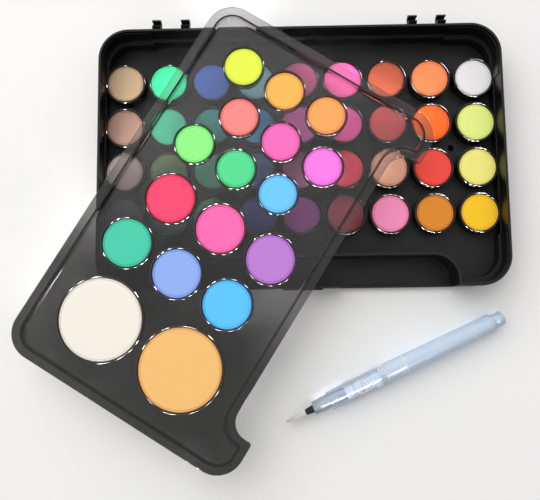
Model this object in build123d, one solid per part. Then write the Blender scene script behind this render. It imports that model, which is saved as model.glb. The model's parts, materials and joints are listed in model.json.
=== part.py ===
from build123d import *
import math
import os

os.makedirs("parts", exist_ok=True)

# A watercolour paint set: a black box of round tablets, a smoky clear tray of more tablets
# that lies slantwise across it, and a water brush on the table in front. Millimetres.
# The origin is the middle of the box's underside, on the table: +X to the right, +Y to the hinges.

# Black box
base_length = 242.4
base_depth = 158.0
base_height = 22.0
base_corner_radius = 18.0
base_wall = 1.5
base_floor = 1.8
rim_rounding = 0.35
foot_rounding = 1.2

# The inner wall has a ledge at the level of the cup tops, and thicker corners that steady the tray
side_ledge = 0.4
back_ledge = 1.9
corner_block = 1.5
corner_guide = 0.5
corner_reach = 31.0
guide_drop = 2.5

# Round cups that hold the tablets
columns = 9
rows = 4
column_pitch = 26.9
row_pitch = 28.0
grid_setback = 7.4
cup_height = 8.5
cup_wall = 0.8
cup_lip_rounding = 0.25

# Paint tablets: one size in the box, three in the tray
tablet_diameter = 22.8
medium_tablet_diameter = 28.8
large_tablet_diameter = 48.2
tablet_thickness = 4.0
tablet_bevel = 0.4
tablet_side_gap = 0.1
tablet_below_lip = 0.3

# Brush bay along the front, behind a low lip with a raised latch plate
bay_length = 179.8
bay_depth = 16.7
bay_corner_radius = 14.0
rib_wall = 1.5
lip_height = 4.0
latch_length = 45.0
latch_height = 14.0
latch_catch_length = 24.0
latch_catch_reach = 1.0
latch_catch_height = 1.6
latch_catch_drop = 3.5

# Round marks of the mould's ejectors and its gate on the box's floor, between the cups
ejector_diameter = 9.4
ejector_depth = 0.12
ejector_column_gaps = (2.5, 3.5)
bay_ejector_spots = (33.7, 83.1)
gate_diameter = 3.8
gate_depth = 0.9
gate_column_gap = 3.5

# Hinge hooks on the back wall: open C clips, two to a pair, the outer one with an end cheek
hinge_pin_diameter = 3.0
hinge_pin_gap = 0.1
hook_wall = 1.5
hook_width = 5.2
hook_pair_gap = 12.2
hook_pair_spread = 155.2
hook_mouth_width = 2.5
hook_below_rim = 3.1
hook_standoff = 0.4

# Smoky clear tray: a flange round a sunk panel, with wells hanging below it
tray_clearance = 0.4
tray_side_play = 1.55
tray_height = 8.5
tray_sheet = 1.4
tray_corner_radius = 16.0
tray_edge_rounding = 0.3
flange_width = 5.7
panel_drop = 3.5
panel_edge_rounding = 0.8
lug_reach = 15.4
lug_length = 26.8
lug_tip_radius = 1.8
notch_radius = 10.5
notch_flat = 0.3
well_wall = 0.9
well_lip = 0.5
well_lip_rounding = 0.3
first_row_margin = 28.9
small_row_pitch = 27.3
small_column_pitch = 28.6
small_stagger = 7.0
small_to_medium = 34.6
medium_row_pitch = 35.0
medium_column_pitch = 34.0
medium_stagger = 3.8
medium_to_large = 44.9
large_column_pitch = 53.9

# Where the tray lies, slantwise on the box's rim
tray_middle_x = -44.8
tray_middle_y = -47.1
tray_turn = -32.3

# Water brush, along its axis from the tip of the hairs
brush_tip_x = -11.6
brush_tip_y = -157.7
brush_turn = 24.65
tuft_length = 13.3
tuft_root_diameter = 2.6
tuft_belly_diameter = 3.8
tuft_belly_share = 0.42
tuft_tip_diameter = 0.9
tuft_tip_rounding = 0.22
hair_sides = 3
hair_root_radius = 0.055
hair_belly_radius = 0.075
hair_tip_radius = 0.015
hair_root_depth = 0.4
hair_rings = 10
first_ring_hairs = 3
more_hairs_a_ring = 6
tuft_disc = 1.2
ferrule_length = 5.2
ferrule_front_diameter = 3.3
ferrule_back_diameter = 4.8
ferrule_spigot_diameter = 4.0
ferrule_spigot_length = 7.0
feed_channel_diameter = 1.0
nozzle_length = 10.3
nozzle_front_diameter = 7.7
nozzle_back_diameter = 9.2
nozzle_spigot_length = 10.6
nozzle_bore_diameter = 3.0
nozzle_rounding = 0.5
grip_length = 33.2
grip_front_diameter = 10.8
grip_back_diameter = 12.0
grip_bore_diameter = 8.2
grip_rounding = 0.4
flow_plug_length = 5.4
collar_length = 3.5
collar_diameter = 11.4
neck_diameter = 8.8
thread_diameter = 9.6
thread_pitch = 2.0
thread_turns = 5
thread_lead_in = 0.8
thread_flank_share = 0.25
thread_crest_share = 0.25
neck_end_gap = 0.4
neck_shoulder_length = 4.2
neck_shoulder_diameter = 10.0
barrel_collar_length = 13.4
barrel_collar_diameter = 12.4
barrel_length = 71.3
barrel_front_diameter = 12.1
barrel_back_diameter = 10.9
barrel_wall = 0.8
barrel_end_wall = 1.5
barrel_rounding = 0.6
plug_length = 7.0
plug_diameter = 8.6
plug_spigot_diameter = 7.0
plug_spigot_length = 6.0
plug_wall = 0.9
plug_rounding = 1.0
seat_gap = 0.05
turning_gap = 0.08


# Sizes that follow from the ones above
base_half_length = base_length / 2
base_half_depth = base_depth / 2
front_wall_back = -base_half_depth + base_wall
cup_top = base_floor + cup_height
cup_radius = tablet_diameter / 2 + tablet_side_gap
cup_outer_radius = cup_radius + cup_wall
cup_floor = cup_top - tablet_below_lip - tablet_thickness
rib_front = front_wall_back + bay_depth
rib_back = rib_front + rib_wall
tray_length = base_length - 2 * (base_wall + corner_guide + tray_clearance)
tray_width = base_depth - 2 * (base_wall + corner_guide + tray_clearance + tray_side_play)
tray_half_length = tray_length / 2
tray_half_width = tray_width / 2
panel_top = tray_height - panel_drop
well_floor = panel_top - tablet_thickness
hook_radius = hinge_pin_diameter / 2 + hinge_pin_gap
hook_outer_radius = hook_radius + hook_wall
hook_middle_y = base_half_depth + hook_outer_radius + hook_standoff
hook_middle_z = base_height - hook_below_rim


def rounded_block(half_x, half_y, radius, low, high):
    """An upright block with rounded corners, centred on the Z axis."""
    outline = Rectangle(2 * half_x, 2 * half_y)
    outline = fillet(outline.vertices(), radius)
    return Pos(0, 0, low) * extrude(outline, high - low)


def block(low_corner, high_corner):
    """A plain block between two corners."""
    size = [high - low for low, high in zip(low_corner, high_corner)]
    return Pos(*low_corner) * Box(*size, align=(Align.MIN, Align.MIN, Align.MIN))


def cup_places():
    """Row, column, x and y of each cup, from the back left."""
    for row in range(rows):
        for column in range(columns):
            x = (column - (columns - 1) / 2) * column_pitch
            y = grid_setback + ((rows - 1) / 2 - row) * row_pitch
            yield row + 1, column + 1, x, y


def corner_boxes(low, high):
    """The four blocks of space in the box's corners, from one height to another."""
    for side in (-1, 1):
        for end in (-1, 1):
            x = side * (base_half_length - corner_reach / 2)
            y = end * (base_half_depth - corner_reach / 2)
            middle = (low + high) / 2
            yield Pos(x, y, middle) * Box(corner_reach, corner_reach, high - low)


def inner_space(inset_x, inset_y, low, high):
    """The box's inside, drawn in from its outer face by one inset along X and one along Y."""
    radius = base_corner_radius - min(inset_x, inset_y)
    return rounded_block(base_half_length - inset_x, base_half_depth - inset_y, radius, low, high)


def box_cavity():
    """The box's whole inside: wide above the ledge, narrower below it and in the corners."""
    over = base_height + 1
    guide_top = base_height - guide_drop
    wide = inner_space(base_wall, base_wall, cup_top, over)
    guided = inner_space(base_wall + corner_guide, base_wall + corner_guide, cup_top, guide_top)
    low_x = base_wall + side_ledge
    low_y = base_wall + back_ledge
    narrow = inner_space(low_x, low_y, base_floor, cup_top)
    blocked = inner_space(low_x + corner_block, low_y + corner_block, base_floor, cup_top)
    for corner in corner_boxes(cup_top, guide_top):
        wide -= corner - guided
    for corner in corner_boxes(base_floor, cup_top):
        narrow -= corner - blocked
    return wide + narrow


def bay_outline(grow):
    """The brush bay seen from above, open to the front, drawn out by grow on its other sides."""
    half = bay_length / 2 + grow
    back = rib_front + grow
    front = -base_half_depth - 2
    outline = Pos(0, (back + front) / 2) * Rectangle(2 * half, back - front)
    back_corners = outline.vertices().sort_by(Axis.Y)[2:]
    return fillet(back_corners, bay_corner_radius + grow)


def hinge_hook(middle_x):
    """One open C hook for a hinge pin, on a web from the back wall."""
    ring = Circle(hook_outer_radius) - Circle(hook_radius)
    mouth = Pos(0, hook_outer_radius) * Rectangle(hook_mouth_width, 2 * hook_outer_radius)
    ring -= mouth
    web_length = hook_middle_y - base_half_depth
    web = Pos(-web_length / 2, -hook_outer_radius / 2) * Rectangle(web_length, hook_outer_radius)
    profile = ring + (web - Circle(hook_radius))
    plane = Plane((middle_x - hook_width / 2, hook_middle_y, hook_middle_z), x_dir=(0, 1, 0), z_dir=(1, 0, 0))
    return extrude(plane * profile, hook_width)


def make_base_box():
    """The black moulded box with its cups, brush bay, latch plate and hinge hooks."""
    shell = rounded_block(base_half_length, base_half_depth, base_corner_radius, 0, base_height)
    shell = fillet(shell.edges().group_by(Axis.Z)[0], foot_rounding)
    shell = fillet(shell.edges().group_by(Axis.Z)[-1], rim_rounding)
    shell -= box_cavity()

    rib = Pos(0, 0, base_floor) * extrude(bay_outline(rib_wall), base_height - base_floor)
    rib &= rounded_block(base_half_length, base_half_depth - rim_rounding, base_corner_radius, 0, base_height)
    bay = Pos(0, 0, lip_height) * extrude(bay_outline(0), base_height)
    bay_bottom = Pos(0, 0, base_floor) * extrude(bay_outline(0), lip_height)
    bay_bottom &= block(
        (-base_half_length, front_wall_back, base_floor),
        (base_half_length, rib_back, lip_height),
    )
    box = shell + rib - bay - bay_bottom

    latch = block(
        (-latch_length / 2, -base_half_depth, lip_height - 1),
        (latch_length / 2, front_wall_back, latch_height),
    )
    catch_top = latch_height - latch_catch_drop
    catch = block(
        (-latch_catch_length / 2, -base_half_depth - latch_catch_reach, catch_top - latch_catch_height),
        (latch_catch_length / 2, -base_half_depth, catch_top),
    )
    box += latch + catch

    cup = Cylinder(cup_outer_radius, cup_height, align=(Align.CENTER, Align.CENTER, Align.MIN))
    cup = fillet(cup.edges().group_by(Axis.Z)[-1], cup_lip_rounding)
    well = Cylinder(cup_radius, cup_height, align=(Align.CENTER, Align.CENTER, Align.MIN))
    box = box.fuse(*[Pos(x, y, base_floor) * cup for row, column, x, y in cup_places()])
    box = box.cut(*[Pos(x, y, cup_floor) * well for row, column, x, y in cup_places()])

    for side in (-1, 1):
        outer_x = side * (hook_pair_spread + hook_pair_gap + hook_width) / 2
        inner_x = side * (hook_pair_spread - hook_pair_gap - hook_width) / 2
        box += hinge_hook(outer_x) + hinge_hook(inner_x)

    mark = Cylinder(ejector_diameter / 2, 2 * ejector_depth)
    mark_x = [side * gap * column_pitch for side in (-1, 1) for gap in ejector_column_gaps]
    mark_y = [grid_setback + row_pitch, grid_setback - row_pitch]
    spots = [(x, y) for x in mark_x for y in mark_y]
    spots += [(side * x, (front_wall_back + rib_front) / 2) for side in (-1, 1) for x in bay_ejector_spots]
    gate = Cylinder(gate_diameter / 2, 2 * gate_depth)
    marks = [Pos(x, y, base_floor) * mark for x, y in spots]
    marks.append(Pos(gate_column_gap * column_pitch, grid_setback, base_floor) * gate)
    return box.cut(*marks)


def tray_outline(inset):
    """The tray seen from above: a long rounded sheet with a notch between two lugs on its right."""
    side = tray_half_width - inset
    end = tray_half_length - inset
    notch_x = tray_half_width - lug_reach - inset
    notch_y = tray_half_length - lug_length + inset
    corners = [
        (-side, -end),
        (side, -end),
        (side, -notch_y),
        (notch_x, -notch_y),
        (notch_x, notch_y),
        (side, notch_y),
        (side, end),
        (-side, end),
    ]
    outline = make_face(Polyline(*corners, close=True))
    bend_radius = min(notch_radius + inset, lug_reach - lug_tip_radius - notch_flat)
    for radius, wanted in (
        (tray_corner_radius - inset, (corners[0], corners[1], corners[6], corners[7])),
        (lug_tip_radius, (corners[2], corners[5])),
        (bend_radius, (corners[3], corners[4])),
    ):
        points = [
            vertex
            for vertex in outline.vertices()
            if any(math.dist((vertex.X, vertex.Y), place) < 0.01 for place in wanted)
        ]
        outline = fillet(points, radius)
    return outline


def well_places():
    """Size name, row, x, y and tablet diameter of each of the tray's wells, in the tray's own frame."""
    middle = -lug_reach / 2
    y = tray_half_length - first_row_margin
    for row, shift in enumerate((-small_stagger, small_stagger, -small_stagger)):
        for step in (-1, 0, 1):
            x = middle + shift + step * small_column_pitch
            yield "small", row + 1, x, y - row * small_row_pitch, tablet_diameter
    y -= 2 * small_row_pitch + small_to_medium
    for row, shift in enumerate((medium_stagger, -medium_stagger)):
        for step in (-1, 0, 1):
            x = middle + shift + step * medium_column_pitch
            yield "medium", row + 1, x, y - row * medium_row_pitch, medium_tablet_diameter
    y -= medium_row_pitch + medium_to_large
    for step in (-0.5, 0.5):
        yield "large", 1, middle + step * large_column_pitch, y, large_tablet_diameter


def lay_tray(shape):
    """Lays a shape of the tray's own frame on the box's rim."""
    return Pos(tray_middle_x, tray_middle_y, base_height) * Rot(0, 0, tray_turn) * shape


def make_upper_tray():
    """The smoky clear tray: flange, sunk panel and wells, one moulding."""
    flange = Pos(0, 0, tray_height - tray_sheet) * extrude(tray_outline(0), tray_sheet)
    flange = fillet(flange.edges().group_by(Axis.Z)[-1], tray_edge_rounding)
    sunk_low = panel_top - tray_sheet
    wall = Pos(0, 0, sunk_low) * extrude(tray_outline(flange_width - tray_sheet), tray_height - sunk_low)
    wall = fillet(wall.edges().group_by(Axis.Z)[0], panel_edge_rounding)
    hollow = Pos(0, 0, panel_top) * extrude(tray_outline(flange_width), tray_height)
    hollow = fillet(hollow.edges().group_by(Axis.Z)[0], panel_edge_rounding)
    tray = flange + wall - hollow
    for name, row, x, y, diameter in well_places():
        outer_radius = diameter / 2 + tablet_side_gap + well_wall
        well = Cylinder(outer_radius, panel_top + well_lip, align=(Align.CENTER, Align.CENTER, Align.MIN))
        well = fillet(well.edges().group_by(Axis.Z)[-1], well_lip_rounding)
        tray += Pos(x, y, 0) * well
    for name, row, x, y, diameter in well_places():
        bore = Cylinder(
            diameter / 2 + tablet_side_gap, tray_height, align=(Align.CENTER, Align.CENTER, Align.MIN)
        )
        tray -= Pos(x, y, well_floor) * bore
    return lay_tray(tray)


def tablet(diameter):
    """A pressed disc of paint with a bevelled upper edge, standing on the XY plane."""
    disc = Cylinder(diameter / 2, tablet_thickness, align=(Align.CENTER, Align.CENTER, Align.MIN))
    return chamfer(disc.edges().group_by(Axis.Z)[-1], tablet_bevel)


# Places along the brush, from the tip of the hairs
ferrule_start = tuft_length
nozzle_start = ferrule_start + ferrule_length
grip_start = nozzle_start + nozzle_length
grip_end = grip_start + grip_length
collar_end = grip_end + collar_length
barrel_end = collar_end + barrel_length
brush_radius = barrel_collar_diameter / 2
flow_plug_start = grip_start + nozzle_spigot_length + seat_gap
flow_plug_end = flow_plug_start + flow_plug_length
neck_start = flow_plug_end + neck_end_gap
thread_start = neck_start + thread_lead_in
shoulder_start = grip_end - neck_shoulder_length
tuft_disc_radius = tuft_root_diameter / 2


def turned(points):
    """A round solid along X from half a profile: pairs of a place along the axis and a radius."""
    profile = make_face(Polyline(*[(place, radius) for place, radius in points], close=True))
    return revolve(profile, Axis.X, 360)


def bored(solid, start, end, radius):
    """Takes a straight bore out of a brush piece."""
    bore = Pos(start, 0, 0) * Rot(0, 90, 0) * Cylinder(
        radius, end - start, align=(Align.CENTER, Align.CENTER, Align.MIN)
    )
    return solid - bore


def lay_brush(shape):
    """Lays a brush piece on the table, on its widest ring."""
    return Pos(brush_tip_x, brush_tip_y, brush_radius) * Rot(0, 0, brush_turn) * shape


def hair(angle, share):
    """One three-sided hair at an angle round the tuft, at its share of the tuft's radius."""
    sections = (
        (tuft_length + hair_root_depth, share * tuft_root_diameter / 2, hair_root_radius),
        (tuft_length * (1 - tuft_belly_share), share * tuft_belly_diameter / 2, hair_belly_radius),
        (tuft_length * tuft_tip_rounding * share**2, share * tuft_tip_diameter / 2, hair_tip_radius),
    )
    rings = []
    for along, away, radius in sections:
        ring = []
        for corner in range(hair_sides):
            turn = 2 * math.pi * corner / hair_sides
            y = away * math.cos(angle) + radius * math.cos(turn)
            z = away * math.sin(angle) + radius * math.sin(turn)
            ring.append(Vector(along, y, z))
        rings.append(ring)
    faces = [Face(Wire.make_polygon(rings[0])), Face(Wire.make_polygon(rings[-1]))]
    for near, far in zip(rings, rings[1:]):
        for corner in range(hair_sides):
            after = (corner + 1) % hair_sides
            faces.append(Face(Wire.make_polygon([near[corner], near[after], far[after], far[corner]])))
    return Solid(Shell(faces))


def make_tuft():
    """The hairs, in rings round the axis, fused to the disc that the ferrule holds."""
    hairs = []
    widest_share = 1 - hair_belly_radius / (tuft_belly_diameter / 2)
    for ring in range(hair_rings):
        share = (ring + 0.5) / hair_rings * widest_share
        count = first_ring_hairs + more_hairs_a_ring * ring
        for place in range(count):
            angle = 2 * math.pi * (place + 0.5 * (ring % 2)) / count
            hairs.append(hair(angle, share))
    disc = turned(
        [
            (tuft_length, 0),
            (tuft_length, tuft_disc_radius),
            (tuft_length + tuft_disc, tuft_disc_radius),
            (tuft_length + tuft_disc, 0),
        ]
    )
    return disc.fuse(*hairs)


def make_ferrule():
    """The black cone that grips the hairs and feeds them water."""
    spigot_end = nozzle_start + ferrule_spigot_length
    ferrule = turned(
        [
            (ferrule_start, 0),
            (ferrule_start, ferrule_front_diameter / 2),
            (nozzle_start, ferrule_back_diameter / 2),
            (nozzle_start, ferrule_spigot_diameter / 2),
            (spigot_end, ferrule_spigot_diameter / 2),
            (spigot_end, 0),
        ]
    )
    ferrule = bored(ferrule, ferrule_start - 1, tuft_length + tuft_disc, tuft_disc_radius + seat_gap)
    return bored(ferrule, ferrule_start, spigot_end + 1, feed_channel_diameter / 2)


def make_nozzle():
    """The clear stepped nose, with a long spigot inside the grip."""
    spigot_radius = grip_bore_diameter / 2 - seat_gap
    spigot_end = grip_start + nozzle_spigot_length
    nozzle = turned(
        [
            (nozzle_start, 0),
            (nozzle_start, nozzle_front_diameter / 2 - nozzle_rounding),
            (nozzle_start + nozzle_rounding, nozzle_front_diameter / 2),
            (grip_start, nozzle_back_diameter / 2),
            (grip_start, spigot_radius),
            (spigot_end, spigot_radius),
            (spigot_end, 0),
        ]
    )
    socket_end = nozzle_start + ferrule_spigot_length
    nozzle = bored(nozzle, nozzle_start - 1, socket_end, ferrule_spigot_diameter / 2 + seat_gap)
    return bored(nozzle, nozzle_start, spigot_end + 1, nozzle_bore_diameter / 2)


def make_grip():
    """The grey clear grip, a widening tube that the barrel's neck screws into."""
    grip = turned(
        [
            (grip_start, 0),
            (grip_start, grip_front_diameter / 2 - grip_rounding),
            (grip_start + grip_rounding, grip_front_diameter / 2),
            (grip_end, grip_back_diameter / 2),
            (grip_end, 0),
        ]
    )
    grip = bored(grip, grip_start - 1, flow_plug_end, grip_bore_diameter / 2)
    grip = bored(grip, flow_plug_end, shoulder_start + 1, thread_diameter / 2 + turning_gap)
    return bored(grip, shoulder_start - seat_gap, grip_end + 1, neck_shoulder_diameter / 2 + turning_gap)


def make_flow_plug():
    """The plug inside the grip that lets the water through slowly."""
    radius = grip_bore_diameter / 2 - seat_gap
    plug = turned(
        [
            (flow_plug_start, 0),
            (flow_plug_start, radius),
            (flow_plug_end, radius),
            (flow_plug_end, 0),
        ]
    )
    return bored(plug, flow_plug_start - 1, flow_plug_end + 1, feed_channel_diameter / 2)


def make_seal_collar():
    """The seal ring between the grip and the barrel's shoulder."""
    collar = turned(
        [
            (grip_end, 0),
            (grip_end, collar_diameter / 2),
            (collar_end, collar_diameter / 2),
            (collar_end, 0),
        ]
    )
    return bored(collar, grip_end - 1, collar_end + 1, neck_shoulder_diameter / 2 + turning_gap)


def make_barrel():
    """The soft squeeze barrel that holds the water, with its threaded neck."""
    step_place = collar_end + barrel_collar_length
    points = [(neck_start, 0), (neck_start, neck_diameter / 2)]
    for turn in range(thread_turns):
        rib = thread_start + turn * thread_pitch
        crest = rib + thread_pitch * thread_flank_share
        crest_end = crest + thread_pitch * thread_crest_share
        points += [
            (rib, neck_diameter / 2),
            (crest, thread_diameter / 2),
            (crest_end, thread_diameter / 2),
            (crest_end + thread_pitch * thread_flank_share, neck_diameter / 2),
        ]
    points += [
        (shoulder_start, neck_diameter / 2),
        (shoulder_start, neck_shoulder_diameter / 2),
        (collar_end, neck_shoulder_diameter / 2),
        (collar_end, barrel_collar_diameter / 2),
        (step_place, barrel_collar_diameter / 2),
        (step_place, barrel_front_diameter / 2),
        (barrel_end - barrel_rounding, barrel_back_diameter / 2),
        (barrel_end, barrel_back_diameter / 2 - barrel_rounding),
        (barrel_end, 0),
    ]
    barrel = turned(points)
    inside = turned(
        [
            (collar_end + barrel_wall, 0),
            (collar_end + barrel_wall, barrel_front_diameter / 2 - barrel_wall),
            (barrel_end - barrel_end_wall, barrel_back_diameter / 2 - barrel_wall),
            (barrel_end - barrel_end_wall, 0),
        ]
    )
    barrel -= inside
    barrel = bored(barrel, neck_start - 1, collar_end + 2 * barrel_wall, neck_diameter / 2 - barrel_wall)
    return bored(barrel, barrel_end - 2 * barrel_end_wall, barrel_end + 1, plug_spigot_diameter / 2 + seat_gap)


def make_end_plug():
    """The push-in plug at the barrel's far end, where it is filled."""
    plug_end = barrel_end + plug_length
    plug = turned(
        [
            (barrel_end, 0),
            (barrel_end, plug_diameter / 2),
            (plug_end - plug_rounding, plug_diameter / 2),
            (plug_end, plug_diameter / 2 - plug_rounding),
            (plug_end, 0),
        ]
    )
    plug += turned(
        [
            (barrel_end - plug_spigot_length, 0),
            (barrel_end - plug_spigot_length, plug_spigot_diameter / 2),
            (barrel_end, plug_spigot_diameter / 2),
            (barrel_end, 0),
        ]
    )
    inside_end = barrel_end + plug_length - 2 * plug_wall
    return bored(plug, barrel_end - plug_spigot_length - 1, inside_end, plug_spigot_diameter / 2 - plug_wall)


def save(shape, name):
    """Writes one named piece."""
    export_step(shape, os.path.join("parts", name + ".step"))


save(make_base_box(), "base_box")
for row, column, x, y in cup_places():
    save(Pos(x, y, cup_floor) * tablet(tablet_diameter), f"box_tablet_row{row}_column{column}")

save(make_upper_tray(), "upper_tray")
small_rows = {}
numbered = {}
for name, row, x, y, diameter in well_places():
    disc = lay_tray(Pos(x, y, well_floor) * tablet(diameter))
    if name == "small":
        small_rows.setdefault(row, []).append(disc)
    else:
        numbered[name] = numbered.get(name, 0) + 1
        save(disc, f"tray_{name}_tablet_{numbered[name]}")
for row, discs in small_rows.items():
    save(Compound(children=discs), f"tray_small_tablets_row{row}")

save(lay_brush(make_tuft()), "brush_hairs")
save(lay_brush(make_ferrule()), "brush_ferrule")
save(lay_brush(make_nozzle()), "brush_nozzle")
save(lay_brush(make_grip()), "brush_grip")
save(lay_brush(make_flow_plug()), "brush_flow_plug")
save(lay_brush(make_seal_collar()), "brush_seal_collar")
save(lay_brush(make_barrel()), "brush_barrel")
save(lay_brush(make_end_plug()), "brush_end_plug")
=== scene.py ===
import json
import math

import bmesh
import bpy
from mathutils import Matrix, Vector

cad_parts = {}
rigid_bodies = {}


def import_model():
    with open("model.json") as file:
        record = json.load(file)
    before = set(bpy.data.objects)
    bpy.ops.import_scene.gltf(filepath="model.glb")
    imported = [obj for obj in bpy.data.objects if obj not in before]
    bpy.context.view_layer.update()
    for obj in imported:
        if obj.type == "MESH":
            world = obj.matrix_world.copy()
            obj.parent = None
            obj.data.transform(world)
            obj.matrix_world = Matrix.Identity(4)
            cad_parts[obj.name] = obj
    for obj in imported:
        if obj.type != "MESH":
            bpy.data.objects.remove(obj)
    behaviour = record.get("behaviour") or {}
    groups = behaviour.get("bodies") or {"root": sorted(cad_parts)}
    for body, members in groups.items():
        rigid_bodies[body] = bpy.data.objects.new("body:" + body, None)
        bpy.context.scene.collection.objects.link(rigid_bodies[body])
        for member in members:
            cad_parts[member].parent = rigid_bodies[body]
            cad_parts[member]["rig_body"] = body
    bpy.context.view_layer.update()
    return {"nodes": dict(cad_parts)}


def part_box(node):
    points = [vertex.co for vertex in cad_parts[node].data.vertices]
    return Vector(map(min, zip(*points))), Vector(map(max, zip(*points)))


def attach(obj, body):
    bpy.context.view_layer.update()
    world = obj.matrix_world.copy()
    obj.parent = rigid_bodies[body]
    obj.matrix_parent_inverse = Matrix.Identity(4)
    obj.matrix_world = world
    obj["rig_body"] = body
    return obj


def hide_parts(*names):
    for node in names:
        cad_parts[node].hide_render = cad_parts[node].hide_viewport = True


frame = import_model()
nodes = frame["nodes"]

# The paint set lies on a pale table in a studio
# The table is a matt painted board. Soft light comes from all round and from one
# wide lamp, and small lamps in front and behind only make glints on the plastic.
board_half = 3.0
board_mesh = bpy.data.meshes.new("pale_table")
board_mesh.from_pydata(
    [
        (-board_half, -board_half, 0),
        (board_half, -board_half, 0),
        (board_half, board_half, 0),
        (-board_half, board_half, 0),
    ],
    [],
    [(0, 1, 2, 3)],
)
pale_table = bpy.data.objects.new("pale_table", board_mesh)
bpy.context.scene.collection.objects.link(pale_table)


def finish(name, colour, roughness):
    """A new material with its main shader."""
    material = bpy.data.materials.new(name)
    material.use_nodes = True
    shader = material.node_tree.nodes["Principled BSDF"]
    shader.inputs["Base Color"].default_value = (*colour, 1)
    shader.inputs["Roughness"].default_value = roughness
    return material, shader


def calc(tree, operation, *values, clamp=False):
    """One sum in a node tree, from sockets or numbers."""
    step = tree.nodes.new("ShaderNodeMath")
    step.operation = operation
    step.use_clamp = clamp
    for socket, value in zip(step.inputs, values):
        if isinstance(value, bpy.types.NodeSocket):
            tree.links.new(value, socket)
        else:
            socket.default_value = value
    return step.outputs[0]


def grain(tree, size, low, high, stretch=None, detail=3.0):
    """Noise of one grain size in metres on the piece's own coordinates, between two values."""
    place = tree.nodes.new("ShaderNodeTexCoord").outputs["Object"]
    if stretch:
        mapping = tree.nodes.new("ShaderNodeMapping")
        mapping.vector_type = "TEXTURE"
        mapping.inputs["Rotation"].default_value = stretch[0]
        mapping.inputs["Scale"].default_value = stretch[1]
        tree.links.new(place, mapping.inputs["Vector"])
        place = mapping.outputs["Vector"]
    noise = tree.nodes.new("ShaderNodeTexNoise")
    noise.inputs["Scale"].default_value = 1 / size
    noise.inputs["Detail"].default_value = detail
    tree.links.new(place, noise.inputs["Vector"])
    spread = tree.nodes.new("ShaderNodeMapRange")
    spread.inputs["From Min"].default_value = 0.3
    spread.inputs["From Max"].default_value = 0.7
    spread.inputs["To Min"].default_value = low
    spread.inputs["To Max"].default_value = high
    tree.links.new(noise.outputs["Fac"], spread.inputs["Value"])
    return spread.outputs["Result"]


def blended(tree, share, first, second):
    """A colour between two others, by a share."""
    mix = tree.nodes.new("ShaderNodeMix")
    mix.data_type = "RGBA"
    tree.links.new(share, mix.inputs["Factor"])
    for name, colour in (("A", first), ("B", second)):
        socket = next(s for s in mix.inputs if s.name == name and s.type == "RGBA")
        if isinstance(colour, bpy.types.NodeSocket):
            tree.links.new(colour, socket)
        else:
            socket.default_value = (*colour, 1)
    return next(s for s in mix.outputs if s.type == "RGBA")


def relief(tree, shader, height, depth, under=None):
    """Bump of a depth in metres, on top of another normal where one is given."""
    bump = tree.nodes.new("ShaderNodeBump")
    bump.inputs["Distance"].default_value = depth
    tree.links.new(height, bump.inputs["Height"])
    if under is not None:
        tree.links.new(under, bump.inputs["Normal"])
    tree.links.new(bump.outputs["Normal"], shader.inputs["Normal"])


board_paint, board_shader = finish("pale_board", (0.86, 0.86, 0.86), 0.7)
board_tree = board_paint.node_tree
board_tone = grain(board_tree, 0.11, 0, 1)
board_tree.links.new(
    blended(board_tree, board_tone, (0.85, 0.85, 0.855), (0.875, 0.872, 0.87)),
    board_shader.inputs["Base Color"],
)
relief(board_tree, board_shader, grain(board_tree, 0.0006, 0, 1), 0.00002)
board_mesh.materials.append(board_paint)

sky = bpy.data.worlds.new("studio")
sky.use_nodes = True
bpy.context.scene.world = sky
sky_tree = sky.node_tree
towards = sky_tree.nodes.new("ShaderNodeTexCoord").outputs["Generated"]
split = sky_tree.nodes.new("ShaderNodeSeparateXYZ")
sky_tree.links.new(towards, split.inputs["Vector"])
back_left = calc(sky_tree, "SUBTRACT", split.outputs["Y"], split.outputs["X"])
sky_slope = 0.45
sky_middle = 0.76
sky_least = 0.16
sky_level = calc(sky_tree, "MULTIPLY_ADD", back_left, sky_slope, sky_middle)
sky_level = calc(sky_tree, "MAXIMUM", sky_level, sky_least)
sky_tree.links.new(sky_level, sky_tree.nodes["Background"].inputs["Strength"])
sky_tree.nodes["Background"].inputs["Color"].default_value = (1.0, 0.99, 0.975, 1)

# The wide lamp comes first and the brush's own lamp last, with the lamps for the
# lips between them. Each has its bearing in degrees, its distance, its size and
# its power.
lamp_height = 1.1
lamps = (
    (125, 0.9, 1.5, 11.0),
    (-116, 1.0, 0.18, 30.0),
    (-92, 1.0, 0.14, 24.0),
    (-72, 1.0, 0.14, 24.0),
    (-54, 1.05, 0.14, 24.0),
    (47, 0.95, 0.18, 26.0),
    (-75, 0.7, 0.4, 14.0),
)
glint_lamps = []
for lamp_number, (lamp_turn, lamp_away, lamp_size, lamp_power) in enumerate(lamps):
    lamp_light = bpy.data.lights.new(f"lamp_{lamp_number + 1}", "AREA")
    lamp_light.size = lamp_size
    lamp_light.energy = lamp_power
    lamp = bpy.data.objects.new(f"lamp_{lamp_number + 1}", lamp_light)
    turn = math.radians(lamp_turn)
    lamp.location = (lamp_away * math.cos(turn), lamp_away * math.sin(turn), lamp_height)
    lamp.rotation_euler = (-Vector(lamp.location)).to_track_quat("-Z", "Y").to_euler()
    lights_room = lamp_number == 0
    lamp.visible_diffuse = lights_room
    lamp.visible_transmission = lights_room
    lamp.visible_glossy = not lights_room
    if not lights_room:
        glint_lamps.append(lamp)
    bpy.context.scene.collection.objects.link(lamp)

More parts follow.
